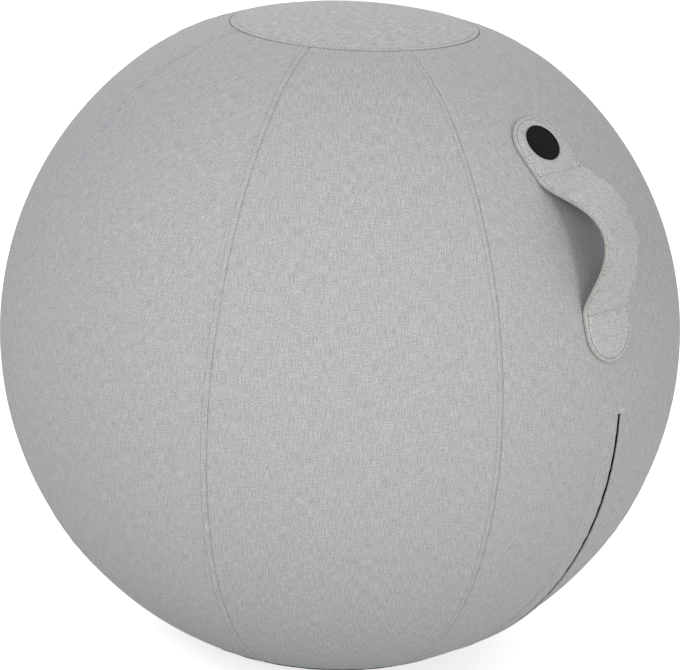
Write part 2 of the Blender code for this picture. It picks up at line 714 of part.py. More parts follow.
def tab_rows(stitch, end):
    """Rows of a sewn end, from its stitching to its half-round tip."""
    half = STRAP_WIDTH / 2
    towards = 1 if end > stitch else -1
    rows = [(stitch + towards * SEAM_HALF, half)]
    round_start = end - towards * half / COVER_RADIUS
    for angle in spread(0.0, math.radians(82), TAB_END_ROW_COUNT):
        reach = towards * half * math.sin(angle) / COVER_RADIUS
        rows.append((round_start + reach, half * math.cos(angle)))
    return rows if towards > 0 else rows[::-1]


def make_strap():
    """The strap: three layers, sewn down at both ends and free to lift between them."""
    axis = add_empty("strap_lift_axis", strap_point(ARCH_MIDDLE, 0.0, 0.0))
    half = STRAP_WIDTH / 2
    free = spread(UPPER_STITCH + SEAM_HALF, LOWER_STITCH - SEAM_HALF, ARCH_ROW_COUNT)
    span = [(polar, half) for polar in free]
    for layer, offset, thickness, look in STRAP_LAYERS:
        upper = strap_solid(tab_rows(UPPER_STITCH, STRAP_TOP), offset, thickness)
        add_piece("strap_upper_tab_" + layer, upper, look)
        arch = add_piece("strap_arch_" + layer, strap_solid(span, offset, thickness), look, axis)
        arch.location = -axis.location
        lower = strap_solid(tab_rows(LOWER_STITCH, STRAP_BOTTOM), offset, thickness)
        add_piece("strap_lower_tab_" + layer, lower, look)


def make_badge():
    """The plain round badge with a raised rim, fixed to the strap's upper end."""
    polar = STRAP_TOP + BADGE_FROM_TAB_END / COVER_RADIUS
    top = BADGE_THICKNESS
    rim_inside = BADGE_RADIUS - BADGE_RIM
    profile = [
        (0.0, 0.0),
        (BADGE_RADIUS, 0.0),
        (BADGE_RADIUS, top + BADGE_RIM_RISE),
        (rim_inside, top + BADGE_RIM_RISE),
        (rim_inside - BADGE_RIM_RISE, top),
        (0.0, top),
    ]
    bm = turned(profile)
    seat = strap_point(polar, BADGE_BESIDE_MIDDLE, STRAP_TOP_FACE + FIT)
    bmesh.ops.transform(bm, matrix=frame_at(seat, (seat - CENTRE).normalized()), verts=bm.verts)
    add_piece("badge", bm, BADGE_BLACK)


clear_scene()
make_cover()
make_inner_ball()
make_valve_plug()
make_zip()
make_strap()
make_badge()
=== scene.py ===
"""The sitting ball's looks: sewn cloth cover, carrying strap, badge, zip, camera and studio.

Metres, +Z up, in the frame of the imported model. The strap and the zip lie on the +X side.
"""

import math
from random import Random

import bpy
import numpy as np
from mathutils import Matrix, Quaternion, Vector


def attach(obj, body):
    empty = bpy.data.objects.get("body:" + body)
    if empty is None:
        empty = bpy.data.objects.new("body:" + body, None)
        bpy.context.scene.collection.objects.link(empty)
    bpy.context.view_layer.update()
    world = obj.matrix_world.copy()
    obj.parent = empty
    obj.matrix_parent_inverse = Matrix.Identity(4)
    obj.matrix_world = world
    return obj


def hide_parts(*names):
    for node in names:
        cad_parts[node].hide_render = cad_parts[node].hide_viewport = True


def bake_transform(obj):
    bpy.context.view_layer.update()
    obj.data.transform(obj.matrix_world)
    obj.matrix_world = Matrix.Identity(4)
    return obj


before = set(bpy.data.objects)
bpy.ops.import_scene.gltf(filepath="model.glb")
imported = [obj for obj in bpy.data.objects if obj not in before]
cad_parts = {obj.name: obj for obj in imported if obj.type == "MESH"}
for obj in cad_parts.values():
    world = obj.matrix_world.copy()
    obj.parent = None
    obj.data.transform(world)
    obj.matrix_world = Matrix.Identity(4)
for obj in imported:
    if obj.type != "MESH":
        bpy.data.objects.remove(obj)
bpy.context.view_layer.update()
bpy.ops.object.select_all(action="DESELECT")

# Sizes shared with the solid model
COVER_RADIUS = 0.325
CENTRE_HEIGHT = 0.310805
CENTRE = Vector((0.0, 0.0, CENTRE_HEIGHT))
TOP_DROP = 0.0125
TOP_FLATTENING_RADIUS = 0.195
TOP_FLATTENING_POWER = 1.85
FLATTENING_COSINE = math.cos(math.asin(TOP_FLATTENING_RADIUS / COVER_RADIUS))
COVER_THICKNESS = 0.0015
NONSLIP_THICKNESS = 0.0018
PANEL_COUNT = 8
PANEL_ANGLE = math.tau / PANEL_COUNT
TOP_PANEL_RADIUS = 0.1175
BASE_PANEL_RADIUS = 0.165
TOP_SEAM = math.asin(TOP_PANEL_RADIUS / COVER_RADIUS)
BASE_SEAM = math.pi - math.asin(BASE_PANEL_RADIUS / COVER_RADIUS)

ZIP_LENGTH = 0.344
ZIP_TOP = BASE_SEAM - ZIP_LENGTH / COVER_RADIUS
ZIP_BESIDE_MIDDLE = 0.0075
ZIP_RADIUS = 0.3222
SLIT_LEFT = 0.0023
SLIT_RIGHT = 0.0023
LIP_RISE = 0.0018
LIP_FADE = 0.0160
LIP_RUN_OUT = 0.0125
FLAP_WIDTH = 0.0250
FLAP_RISE = 0.0013
FLAP_EDGE = 0.0015
HOLLOW_HALF = 0.0066
SEWN_FROM = 0.0096
TAPE_THICKNESS = 0.0006
TAPE_FROM = 0.0032
TAPE_EDGE = 0.0162
TAPE_TAIL = 0.0100
TAPE_SEWN_RADIUS = 0.3229

STRAP_HALF = 0.031
STRAP_BESIDE_MIDDLE = -0.0037
STRAP_ABOVE_ZIP = 0.050
LOWER_TAB_LENGTH = 0.045
STRAP_SPAN = 0.126
UPPER_TAB_LENGTH = 0.057
STRAP_BOTTOM = ZIP_TOP - STRAP_ABOVE_ZIP / COVER_RADIUS
LOWER_STITCH = STRAP_BOTTOM - LOWER_TAB_LENGTH / COVER_RADIUS
UPPER_STITCH = LOWER_STITCH - STRAP_SPAN / COVER_RADIUS
STRAP_TOP = UPPER_STITCH - UPPER_TAB_LENGTH / COVER_RADIUS
ARCH_MIDDLE = (LOWER_STITCH + UPPER_STITCH) / 2
ARCH_HALF = (LOWER_STITCH - UPPER_STITCH) / 2
ARCH_HEIGHT = 0.035
ARCH_LEAN = 0.20
BADGE_RADIUS = 0.0175
BADGE_THICKNESS = 0.0014
BADGE_FROM_TAB_END = 0.0279
BADGE_POLAR = STRAP_TOP + BADGE_FROM_TAB_END / COVER_RADIUS
BADGE_BESIDE_MIDDLE = -0.0040
BADGE_SEAT = 0.0042

# How the slit and the strap have settled, beside the plainer solids
SLIT_PINCH = 0.0004
SLIT_PINCH_FADE = 0.120
ARCH_POWER = 1.52
ARCH_POWER_TWIST = 0.42
ARCH_SKEW = 0.043
TAB_LEAN = 0.0044

# Strap layers: the height of the lower and upper sides, and the inset from the widest layer
LINING_LAYER = (0.00030, 0.00115, 0.0005)
CORE_LAYER = (0.00120, 0.00285, 0.0)
FACE_LAYER = (0.00290, 0.00390, 0.0006)
FACE_CROWN = 0.0002
FACE_EDGE_DIP = 0.0007
CORE_ROUNDING = 0.0008
LINING_ROUNDING = 0.0003
UNDERSIDE_ROUNDING = 0.0004
STRAP_STITCH_INSET = 0.0032
STRAP_GROOVE = 0.0010

# Sewing
SEAT_GAP = 0.00020
FLAP_SEAM_GAP = 0.00004
# Painted shade in the seams: the grey the colour darkens to, and how much and how wide round the seat
SEAM_SHADE_COLOUR = "#77777a"
SEAT_SHADE_SHARE = 0.5
SEAT_SHADE_WIDTH = 0.0008
ALLOWANCE_THINS = (0.0060, 0.0100)
PLAIN_DIP = 0.0007
PLAIN_DIP_WIDTH = 0.0012
SEAT_SIDE_SHARE = 0.4
FLAP_SEAM_DEPTH = 0.0007
FLAP_SEAM_WIDTH = 0.0024
FLAP_SEAM_LEAST = 0.25
FLAP_SEAM_RUN_OUT = 0.15
PUCKER_HEIGHT = 0.00009
PUCKER_WAVES = (0.0019, 0.0052)
PUCKER_FADE = 0.011
PUCKER_FROM = 0.0020
FOLD_PUCKER = 1.6
STITCH_FROM_SEAM = 0.0052
STITCH_PITCH = 0.0042
STITCH_LENGTH = 0.0033
THREAD_RADIUS = 0.00030
THREAD_PROUD = 0.2 * THREAD_RADIUS
STITCH_GROOVE_WIDTH = 0.0008
FLAP_STITCH_INSET = 0.0035
FLAP_STITCH_GROOVE = 0.0003
THINNEST_CLOTH = 0.0002

# Mesh lines: distances from a seam, from the flap's seam, from the lip and from the flap's fold.
# They are close together where the cloth rolls in, and the first from a seam leaves its gap.
EDGE_STEPS = np.array([0.12, 0.5, 1.0, 1.6, 2.2, 2.9, 3.6, 4.2, 4.8, 5.3, 5.8, 6.5, 7.5, 9.0,
                       11.5]) / 1000
BESIDE_FLAP_STEPS = np.array([0.012, 0.006, 0.003, 0.0015, 0.0006, 0.0])
LIP_STEPS = np.array([0, 0.1, 0.3, 0.8, 1.8, 3.0, 4.5, 6.0, 8.0, 10.0, 13.0, 17.0]) / 1000
FOLD_STEPS = np.array([0, 0.08, 0.2, 0.5, 1.1, 2.0, 3.0, 4.2, 6.0, 8.0]) / 1000
FLAP_SEWN_STEPS = np.array([0, 0.6, 1.5, 2.2, 2.8, 3.4, 4.0, 4.6, 5.5, 7.0]) / 1000
ROW_PITCH = 0.0034
SIDE_COLUMNS = 58
ZIP_LEFT_COLUMNS = 26
ZIP_RIGHT_COLUMNS = 30
UNDER_FLAP_COLUMNS = 14
SEAT_ROWS = 36
SEAT_COLUMNS = 224
BASE_ROWS = 48
BASE_COLUMNS = 256
TAPE_ROWS = 130
CAP_RADIUS = 0.002


def linear(colour):
    """An sRGB hex colour as linear RGBA."""
    shares = [int(colour[i:i + 2], 16) / 255 for i in (1, 3, 5)]
    return (*[s / 12.92 if s <= 0.04045 else ((s + 0.055) / 1.055) ** 2.4 for s in shares], 1.0)


def add_node(tree, kind, settings=None, stops=(), **inputs):
    """Add a node, set its properties and colour stops, and set or link its inputs.

    An input goes by its name, with _ for a space, or by its number, as i0 or i1.
    """
    node = tree.nodes.new(kind)
    for key, value in (settings or {}).items():
        setattr(node, key, value)
    for number, (place, colour) in enumerate(stops):
        elements = node.color_ramp.elements
        stop = elements[number] if number < len(elements) else elements.new(place)
        stop.position = place
        stop.color = linear(colour)
    for key, value in inputs.items():
        numbered = key[0] == "i" and key[1:].isdigit()
        socket = node.inputs[int(key[1:]) if numbered else key.replace("_", " ")]
        if isinstance(value, bpy.types.NodeSocket):
            tree.links.new(value, socket)
        else:
            socket.default_value = value
    return node


def new_finish(name, **inputs):
    """A material with one Principled shader, whose constants sit on its own sockets."""
    material = bpy.data.materials.new(name)
    material.use_nodes = True
    shader = material.node_tree.nodes["Principled BSDF"]
    for key, value in inputs.items():
        shader.inputs[key.replace("_", " ")].default_value = value
    return material, material.node_tree, shader


def step(low, high, value):
    """A smooth ramp from 0 at low to 1 at high."""
    share = np.clip((value - low) / (high - low), 0.0, 1.0)
    return share * share * (3 - 2 * share)


def bell(value, width):
    """A smooth bump, 1 at zero and nearly gone at twice its width."""
    return np.exp(-(value / width) ** 2)


# Cloth and other finishes


def heather_weave(name, dark, middle, light):
    """Plain weave of heathered polyester yarn: matt, each yarn a slightly different grey.

    A mesh attribute paints shade into the colour down in a seam: it is the share by which the colour
    darkens there towards a grey.
    The real yarns are about 0.6 mm apart. They are drawn 0.9 mm wide, so that they show.
    """
    material, tree, shader = new_finish(name, Roughness=0.95, Specular_IOR_Level=0.1)
    place = add_node(tree, "ShaderNodeUVMap", {"uv_map": "cloth"}).outputs["UV"]
    yarn = 1 / 0.0009
    slub = 1 / 0.0100
    tones = []
    for scale in ((yarn, slub, 1.0), (slub, yarn, 1.0), (yarn, yarn, 1.0)):
        spot = add_node(tree, "ShaderNodeMapping", Vector=place, Scale=scale).outputs["Vector"]
        noise = add_node(tree, "ShaderNodeTexNoise", {"noise_dimensions": "2D"},
                         Vector=spot, Scale=1.0, Detail=0.0)
        tones.append(noise.outputs["Fac"])
    warp, weft, crossing = tones
    share = add_node(tree, "ShaderNodeMath", {"operation": "MULTIPLY"}, i0=weft, i1=0.17).outputs[0]
    for tone, weight in ((warp, 0.26), (crossing, 0.57)):
        share = add_node(tree, "ShaderNodeMath", {"operation": "MULTIPLY_ADD"},
                         i0=tone, i1=weight, i2=share).outputs[0]
    colour = add_node(tree, "ShaderNodeValToRGB", stops=[(0.3, dark), (0.5, middle), (0.7, light)],
                      i0=share).outputs["Color"]
    # Painted shade: the colour darkens towards a grey down in the seams
    painted_shade = add_node(tree, "ShaderNodeAttribute", {"attribute_name": "seam_painted_shade"}).outputs["Fac"]
    shaded_colour = add_node(tree, "ShaderNodeMix", {"data_type": "RGBA"},
                     i0=painted_shade, i6=colour, i7=linear(SEAM_SHADE_COLOUR)).outputs[2]
    bump = add_node(tree, "ShaderNodeBump", Height=share, Strength=0.3, Distance=0.0005)
    tree.links.new(shaded_colour, shader.inputs["Base Color"])
    tree.links.new(bump.outputs["Normal"], shader.inputs["Normal"])
    return material


def dyed_cloth(name, dark, light, rib, roughness):
    """Plain dyed tape or lining, with ribs that run along it. rib is their spacing in metres."""
    material, tree, shader = new_finish(name, Roughness=roughness, Specular_IOR_Level=0.25)
    place = add_node(tree, "ShaderNodeUVMap", {"uv_map": "cloth"}).outputs["UV"]
    ribs = add_node(tree, "ShaderNodeTexWave", {"bands_direction": "X"}, Vector=place,
                    Scale=math.tau / 20 / rib, Distortion=0.6, Detail=1.0, Detail_Scale=2.0)
    fuzz = add_node(tree, "ShaderNodeTexNoise", Vector=place, Scale=1 / 0.0012, Detail=1.0)
    share = add_node(tree, "ShaderNodeMix", {"data_type": "FLOAT"}, i0=0.45,
                     i2=ribs.outputs["Fac"], i3=fuzz.outputs["Fac"]).outputs[0]
    colour = add_node(tree, "ShaderNodeValToRGB", stops=[(0.2, dark), (0.8, light)], i0=share)
    bump = add_node(tree, "ShaderNodeBump", Height=share, Strength=0.5, Distance=0.0005)
    tree.links.new(colour.outputs["Color"], shader.inputs["Base Color"])
    tree.links.new(bump.outputs["Normal"], shader.inputs["Normal"])
    return material


def grained(name, dark, light, grain, depth, **inputs):
    """A surface of one colour with a fine uneven grain. grain is its width in metres."""
    material, tree, shader = new_finish(name, **inputs)
    place = add_node(tree, "ShaderNodeTexCoord").outputs["Object"]
    noise = add_node(tree, "ShaderNodeTexNoise", Vector=place, Scale=1 / grain, Detail=2.0)
    share = noise.outputs["Fac"]
    colour = add_node(tree, "ShaderNodeValToRGB", stops=[(0.3, dark), (0.7, light)], i0=share)
    bump = add_node(tree, "ShaderNodeBump", Height=share, Strength=0.5, Distance=depth)
    tree.links.new(colour.outputs["Color"], shader.inputs["Base Color"])
    tree.links.new(bump.outputs["Normal"], shader.inputs["Normal"])
    return material


def dotted_nonslip():
    """Black knitted cloth with a grid of soft vinyl dots 6 mm apart, which grip the floor."""
    material, tree, shader = new_finish("black dotted nonslip", Roughness=0.7)
    place = add_node(tree, "ShaderNodeTexCoord").outputs["Object"]
    dots = add_node(tree, "ShaderNodeTexVoronoi", {"voronoi_dimensions": "2D"}, Vector=place,
                    Scale=1 / 0.006, Randomness=0.08).outputs["Distance"]
    knit = add_node(tree, "ShaderNodeTexNoise", Vector=place, Scale=1 / 0.0012, Detail=1.0)
    dome = add_node(tree, "ShaderNodeMapRange", {"interpolation_type": "SMOOTHSTEP"}, Value=dots,
                    From_Min=0.30, From_Max=0.18).outputs["Result"]
    height = add_node(tree, "ShaderNodeMath", {"operation": "MULTIPLY_ADD"},
                      i0=knit.outputs["Fac"], i1=0.2, i2=dome).outputs[0]
    colour = add_node(tree, "ShaderNodeValToRGB", stops=[(0.1, "#161616"), (1.0, "#2b2b2b")], i0=height)
    bump = add_node(tree, "ShaderNodeBump", Height=height, Strength=0.8, Distance=0.0006)
    tree.links.new(colour.outputs["Color"], shader.inputs["Base Color"])
    tree.links.new(bump.outputs["Normal"], shader.inputs["Normal"])
    return material


# Heathered yarn: pale grey and matt from afar, flecked close up
cover_weave = heather_weave("heathered polyester weave", "#a6a7a9", "#bfc0c2", "#d6d7d8")
# The seat's cloth is painted lighter than the sides': painted light that stands in for the sheen its
# weave shows under the lamps
seat_weave_painted_lighter = heather_weave("heathered polyester painted lighter for its sheen", "#9d9d9f", "#c6c6c7", "#e8e8e8")
strap_weave = heather_weave("heathered strap weave", "#a8a8a9", "#c9c9ca", "#e5e5e6")
# Ribbed lining: darker and dull, seen only under the strap
strap_lining = dyed_cloth("grey ribbed lining", "#7e7e81", "#a4a4a7", rib=0.0026, roughness=0.9)
# Felt: warm and matt, seen as a thin line round the strap
cream_core = grained("cream felt core", "#b0ada6", "#c5c2bb", grain=0.0008, depth=0.0003,
                     Roughness=0.95)
# Spun polyester thread: nearly matt and slightly fuzzy
THREAD = {"grain": 0.0006, "depth": 0.0001, "Roughness": 0.8}
sewing_thread = grained("grey polyester thread", "#9fa0a2", "#b6b7b9", **THREAD)
strap_edge_thread = grained("mid grey polyester thread", "#70706c", "#858580", **THREAD)
strap_end_thread = grained("dark grey polyester thread", "#65655f", "#7c7c76", **THREAD)
pale_thread = grained("pale grey polyester thread", "#d4d5d6", "#e2e3e4", **THREAD)
black_thread = grained("black polyester thread", "#1a1a1b", "#2a2a2c", grain=0.0006, depth=0.0001,
                       Roughness=0.6)
# Moulded rubber: almost black, with hardly any shine
badge_rubber = grained("black moulded rubber", "#0b0b0c", "#121213", grain=0.0007, depth=0.00008,
                       Roughness=0.65, Specular_IOR_Level=0.1)
# Dotted cloth: dull black with slightly paler dots
nonslip = dotted_nonslip()
# Inflated vinyl and moulded polyethylene: smooth, with a soft shine
ball_vinyl = grained("grey moulded vinyl", "#6f7276", "#7d8084", grain=0.004, depth=0.0001,
                     Roughness=0.45)
valve_plastic = grained("white polyethylene", "#dedcd4", "#eae8e1", grain=0.003, depth=0.0001,
                        Roughness=0.5)
# The zip: dull ribbed tape, teeth with a soft shine, and the gloss of lacquer on metal
zip_tape = dyed_cloth("black woven zip tape", "#262628", "#3a3a3c", rib=0.0010, roughness=0.9)
zip_teeth = grained("black moulded acetal", "#222224", "#303032", grain=0.002, depth=0.00005,
                    Roughness=0.4)
zip_metal = grained("black lacquered zinc", "#1b1b1d", "#262628", grain=0.003, depth=0.00004,
                    Roughness=0.35, Metallic=0.6)


# Cover


def ball_points(polar, azimuth, radius):
    """Points by their angle from the top, angle from +X and distance from the ball's centre."""
    out = radius * np.sin(polar)
    high = CENTRE_HEIGHT + radius * np.cos(polar)
    return np.stack([out * np.cos(azimuth), out * np.sin(azimuth), high], axis=-1)


def cover_radius(polar):
    """The cover's distance from the ball's centre, less towards the flattened top."""
    share = (np.cos(polar) - FLATTENING_COSINE) / (1 - FLATTENING_COSINE)
    return COVER_RADIUS - TOP_DROP * np.maximum(share, 0.0) ** TOP_FLATTENING_POWER


def add_mesh(name, points, faces, finish, body=None, uv=None, painted_shade=None):
    """A smooth-shaded piece from points and faces, at the origin, on one body."""
    mesh = bpy.data.meshes.new(name)
    mesh.from_pydata([tuple(point) for point in points], [], [tuple(face) for face in faces])
    if uv is not None:
        layer = mesh.uv_layers.new(name="cloth")
        corners = np.zeros(len(mesh.loops), np.int32)
        mesh.loops.foreach_get("vertex_index", corners)
        layer.data.foreach_set("uv", np.asarray(uv, np.float32)[corners].ravel())
    # The seams' painted shade goes on as a point attribute
    if painted_shade is not None:
        shade_layer = mesh.attributes.new("seam_painted_shade", "FLOAT", "POINT")
        shade_layer.data.foreach_set("value", np.asarray(painted_shade, np.float32))
    mesh.shade_smooth()
    mesh.set_sharp_from_angle(angle=math.radians(50))
    mesh.materials.append(finish)
    piece = bpy.data.objects.new(name, mesh)
    bpy.context.scene.collection.objects.link(piece)
    if body:
        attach(piece, body)
    return piece


def cloth_faces(rows, columns, keep=None, closed=False, capped=False):
    """Faces of a thin closed shell over a grid: its outside, its inside and its cut edges."""
    count = rows * columns
    outside = []
    for i in range(rows - 1):
        for j in range(columns if closed else columns - 1):
            if keep is None or keep[i, j]:
                k = (j + 1) % columns
                corner = i * columns
                outside.append((corner + j, corner + columns + j, corner + columns + k, corner + k))
    if capped:
        outside.append(tuple(range(columns)))
    edges = {}
    for face in outside:
        for a, b in zip(face, face[1:] + face[:1]):
            edges[(a, b)] = True
    rims = [(b, a, a + count, b + count) for a, b in edges if (b, a) not in edges]
    inside = [tuple(corner + count for corner in face[::-1]) for face in outside]
    return outside + inside + rims


def add_cloth(name, outer, inner, uv, finish, body=None, keep=None, closed=False, capped=False,
              painted_shade=None):
    """A cloth piece between two grids of points."""
    rows, columns = outer.shape[:2]
    points = np.concatenate([outer.reshape(-1, 3), inner.reshape(-1, 3)])
    faces = cloth_faces(rows, columns, keep, closed, capped)
    used = np.unique(np.concatenate([np.asarray(face) for face in faces]))
    order = np.full(len(points), -1)
    order[used] = np.arange(len(used))
    faces = [tuple(int(order[corner]) for corner in face) for face in faces]
    both = np.concatenate([uv.reshape(-1, 2), uv.reshape(-1, 2)])
    if painted_shade is not None:
        painted_shade = np.concatenate([painted_shade.ravel(), painted_shade.ravel()])[used]
    return add_mesh(name, points[used], faces, finish, body, both[used], painted_shade)


def sewn_edge(away, fold, groove, dip, dip_width):
    """Height of the cloth beside a seam whose allowance is folded under and topstitched."""
    fold = fold * (1 - step(*ALLOWANCE_THINS, away))
    groove = groove * bell(away - STITCH_FROM_SEAM, STITCH_GROOVE_WIDTH)
    return fold - groove - dip * bell(away, dip_width)


def stitched_edge(away):
    """Height of a side panel, or of the base, beside its topstitched seam."""
    return sewn_edge(away, fold=0.00055, groove=0.00050, dip=0.0012, dip_width=0.0010)


def seat_edge(away):
    """Height of the seat's cloth beside its seam, lower than the side panels' folds."""
    return sewn_edge(away, fold=0.00020, groove=0.00045, dip=0.0004, dip_width=0.0008)


def plain_edge(away):
    """Height of the cloth on the other side of a seam."""
    return -PLAIN_DIP * bell(away, PLAIN_DIP_WIDTH)


def seat_painted_shade(away):
    """Share of painted shade in the seam round the seat, which is wider than the others."""
    return SEAT_SHADE_SHARE * bell(away, SEAT_SHADE_WIDTH)


def flap_seam(away, along):
    """Groove along the flap's seam, which is soft and runs out towards the zip's upper end."""
    share = FLAP_SEAM_LEAST + (1 - FLAP_SEAM_LEAST) * step(0.0, FLAP_SEAM_RUN_OUT, along)
    return -FLAP_SEAM_DEPTH * bell(away, FLAP_SEAM_WIDTH) * share


def pucker(away, along, seed):
    """Small uneven waves that the sewing draws into the cloth, fading away from the seam."""
    draw = Random(seed)
    waves = 0.0
    for _ in range(4):
        waves = waves + np.sin(along / draw.uniform(*PUCKER_WAVES) + draw.uniform(0, math.tau))
    return PUCKER_HEIGHT * waves * np.exp(-away / PUCKER_FADE) * step(0.0, PUCKER_FROM, away)


def meridian_steps(first, last):
    """Polar angles from seam to seam, with close rows at both."""
    length = (last - first) * COVER_RADIUS
    middle = np.linspace(EDGE_STEPS[-1], length - EDGE_STEPS[-1], int(length / ROW_PITCH))
    steps = np.concatenate([EDGE_STEPS, middle[1:-1], length - EDGE_STEPS[::-1]])
    return first + steps / COVER_RADIUS


SIDE_TOP = TOP_SEAM + SEAT_GAP / COVER_RADIUS
SIDE_POLARS = meridian_steps(SIDE_TOP, BASE_SEAM)


def side_height(across, polar, half, seed):
    """How far a side panel's outside stands off the ball."""
    top = (polar - TOP_SEAM) * COVER_RADIUS
    bottom = (BASE_SEAM - polar) * COVER_RADIUS
    left = half + across
    right = half - across
    height = stitched_edge(right) + plain_edge(left)
    height = height + SEAT_SIDE_SHARE * plain_edge(top) + plain_edge(bottom)
    height = height + pucker(left, top, seed) + pucker(right, top, seed + 1)
    height = height + pucker(top, across, seed + 100) + pucker(bottom, across, seed + 200)
    return np.maximum(height, THINNEST_CLOTH - COVER_THICKNESS)


def make_side_panel(number):
    """A pointed panel, sewn to its neighbours at both edges. Each has its own patch of the weave."""
    middle = number * PANEL_ANGLE
    polar = SIDE_POLARS[:, None]
    reach = COVER_RADIUS * np.sin(polar)
    half = reach * PANEL_ANGLE / 2
    inside = np.linspace(-1, 1, SIDE_COLUMNS)[None, 1:-1] * (half - EDGE_STEPS[-1])
    edges = (-half + EDGE_STEPS[None, :], half - EDGE_STEPS[None, ::-1])
    across = np.concatenate([edges[0], inside, edges[1]], axis=1)
    polar = np.broadcast_to(polar, across.shape)
    height = side_height(across, polar, half, 10 * number)
    radius = cover_radius(polar)
    outer = ball_points(polar, middle + across / reach, radius + height)
    inner = ball_points(polar, middle + across / reach, radius - COVER_THICKNESS)
    uv = np.stack([across + number, polar * COVER_RADIUS], axis=-1)
    # Painted shade in the seam round the seat
    painted_shade = seat_painted_shade((polar - TOP_SEAM) * COVER_RADIUS)
    panel = add_cloth(f"side_panel_{number}_cloth", outer, inner, uv, cover_weave, "cover", painted_shade=painted_shade)
    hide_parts(f"side_panel_{number}")
    return panel


def flap_rise(across):
    """How far the flap stands off the ball, from its seam to its free edge."""
    share = np.clip((across + FLAP_WIDTH) / (FLAP_WIDTH - SLIT_LEFT), 0.0, 1.0)
    return FLAP_RISE * np.sin(math.pi / 2 * share)


def lip_rise(across):
    """How far the lip on the slit's right side stands off the ball."""
    share = np.clip((across - HOLLOW_HALF) / (LIP_FADE - HOLLOW_HALF), 0.0, 1.0)
    return LIP_RISE * (1 - share) ** 2


def opening_rise(across):
    """How far the cloth stands off the ball across the zip, from the flap's seam to the far lip."""
    share = step(-SLIT_LEFT, SLIT_RIGHT, across)
    flap = flap_rise(np.minimum(across, -SLIT_LEFT))
    lip = lip_rise(np.maximum(across, SLIT_RIGHT))
    return flap * (1 - share) + lip * share


def slit_pinch(polar):
    """How far the bar tack draws each side of the slit in, fading over the upper third of the zip."""
    return SLIT_PINCH * (1 - step(0.0, SLIT_PINCH_FADE, (polar - ZIP_TOP) * COVER_RADIUS))


def fold_drop(away, radius):
    """How far a folded edge curves in from its flat side."""
    inside = np.clip(radius - away, 0.0, radius)
    return radius - np.sqrt(radius**2 - inside**2)


def arc_across(across, reach):
    """Distance round the ball from the panel's middle to a place beside the zip's line."""
    return reach * np.arcsin((across + ZIP_BESIDE_MIDDLE) / reach)


def make_zip_panel():
    """The panel that carries the strap, open along the zip from its upper end to the base."""
    above = meridian_steps(SIDE_TOP, ZIP_TOP)
    below = meridian_steps(ZIP_TOP, BASE_SEAM)
    polar = np.concatenate([above[:-1], [ZIP_TOP], below[1:]])[:, None]
    reach = COVER_RADIUS * np.sin(polar)
    half = reach * PANEL_ANGLE / 2

    # Columns: left seam, left part, flap's seam, the opening under the flap, lip, right part, right seam
    flap_edge = -FLAP_WIDTH - FLAP_SEAM_GAP
    beside_flap = arc_across(flap_edge - BESIDE_FLAP_STEPS, reach)
    under_flap = arc_across(np.linspace(flap_edge, -SLIT_LEFT, UNDER_FLAP_COLUMNS)[1:], reach)
    lip = arc_across(SLIT_RIGHT - slit_pinch(polar) + LIP_STEPS, reach)
    left = np.linspace(0, 1, ZIP_LEFT_COLUMNS)[None, 1:-1]
    left = (-half + EDGE_STEPS[-1]) * (1 - left) + beside_flap[:, :1] * left
    right = np.linspace(0, 1, ZIP_RIGHT_COLUMNS)[None, 1:-1]
    right = lip[:, -1:] * (1 - right) + (half - EDGE_STEPS[-1]) * right
    edges = (-half + EDGE_STEPS[None, :], half - EDGE_STEPS[None, ::-1])
    across = np.concatenate([edges[0], left, beside_flap, under_flap, lip, right, edges[1]], axis=1)

    polar = np.broadcast_to(polar, across.shape)
    beside = np.sin(across / reach) * reach - ZIP_BESIDE_MIDDLE
    fade = step(ZIP_TOP - LIP_RUN_OUT / COVER_RADIUS, ZIP_TOP, polar)
    open_part = polar > ZIP_TOP + 1e-6
    rise = np.where(open_part & (beside < 0), 0.0, opening_rise(beside) * fade)
    height = side_height(across, polar, half, 0) + rise
    lip_away = np.where(open_part, beside - SLIT_RIGHT + slit_pinch(polar), 1.0)
    height = height - np.where(lip_away >= -1e-6, fold_drop(lip_away, COVER_THICKNESS / 2), 0.0)
    seam_away = np.where(open_part, flap_edge - beside, 1.0)
    groove = flap_seam(seam_away, (polar - ZIP_TOP) * COVER_RADIUS)
    height = height + np.where(seam_away >= -1e-6, groove, 0.0)
    lifted = rise * (1 - step(HOLLOW_HALF, SEWN_FROM, beside)) * (beside > 0)
    radius = cover_radius(polar)
    outer = ball_points(polar, across / reach, radius + height)
    inner = ball_points(polar, across / reach, radius - COVER_THICKNESS + lifted)
    uv = np.stack([across, polar * COVER_RADIUS], axis=-1)
    first = edges[0].shape[1] + left.shape[1] + beside_flap.shape[1] - 1
    last = first + under_flap.shape[1] + 1
    keep = np.ones((across.shape[0] - 1, across.shape[1] - 1), bool)
    keep[len(above) - 1:, first:last] = False
    # Painted shade in the seam round the seat
    painted_shade = seat_painted_shade((polar - TOP_SEAM) * COVER_RADIUS)
    panel = add_cloth("zip_panel_cloth", outer, inner, uv, cover_weave, "cover", keep, painted_shade=painted_shade)
    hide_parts("zip_panel")
    return panel


